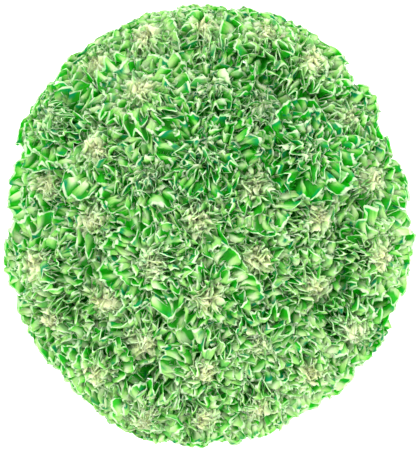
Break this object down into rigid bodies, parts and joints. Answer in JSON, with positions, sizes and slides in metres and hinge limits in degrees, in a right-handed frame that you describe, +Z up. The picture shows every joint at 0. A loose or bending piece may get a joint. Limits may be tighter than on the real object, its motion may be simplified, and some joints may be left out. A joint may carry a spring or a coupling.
{
  "type": "carnation bouquet",
  "caption": "Round hand-tied bouquet of cut carnations with frilled, green-dyed petals, spiral stems and a twine tie, standing on its level-cut stem ends.",
  "frame": {"origin": "middle of the centre stem's level cut end, on the surface that the bouquet stands on", "axes": "+Z up through the tie to the top of the dome; +Y along the longer side of the dome's oval; the knot of the tie faces -Y"},
  "size_m": [0.3641, 0.4019, 0.4318],
  "materials": {
    "petals": "soft matt petal, cream to pale green with a saturated green margin and a white rim",
    "stems": "waxy grey-green plant stem",
    "twine": "undyed plant-fibre twine"
  },
  "bodies": {
    "root": {"bloom_01": "petals", "bloom_02": "petals", "bloom_03": "petals", "bloom_04": "petals", "bloom_05": "petals", "bloom_06": "petals", "bloom_07": "petals", "bloom_08": "petals", "bloom_09": "petals", "bloom_10": "petals", "bloom_11": "petals", "bloom_12": "petals", "bloom_13": "petals", "bloom_14": "petals", "bloom_15": "petals", "bloom_16": "petals", "bloom_17": "petals", "bloom_18": "petals", "bloom_19": "petals", "bloom_20": "petals", "bloom_21": "petals", "bloom_22": "petals", "bloom_23": "petals", "bloom_24": "petals", "bloom_25": "petals", "bloom_26": "petals", "bloom_27": "petals", "bloom_28": "petals", "bloom_29": "petals", "bloom_30": "petals", "bloom_31": "petals", "bloom_32": "petals", "bloom_33": "petals", "bloom_34": "petals", "bloom_35": "petals", "bloom_36": "petals", "bloom_37": "petals", "inner_stems": "stems", "stem_20": "stems", "stem_21": "stems", "stem_22": "stems", "stem_23": "stems", "stem_24": "stems", "stem_25": "stems", "stem_26": "stems", "stem_27": "stems", "stem_28": "stems", "stem_29": "stems", "stem_30": "stems", "stem_31": "stems", "stem_32": "stems", "stem_33": "stems", "stem_34": "stems", "stem_35": "stems", "stem_36": "stems", "stem_37": "stems", "twine_knot": "twine", "twine_tie": "twine"}
  },
  "joints": []
}
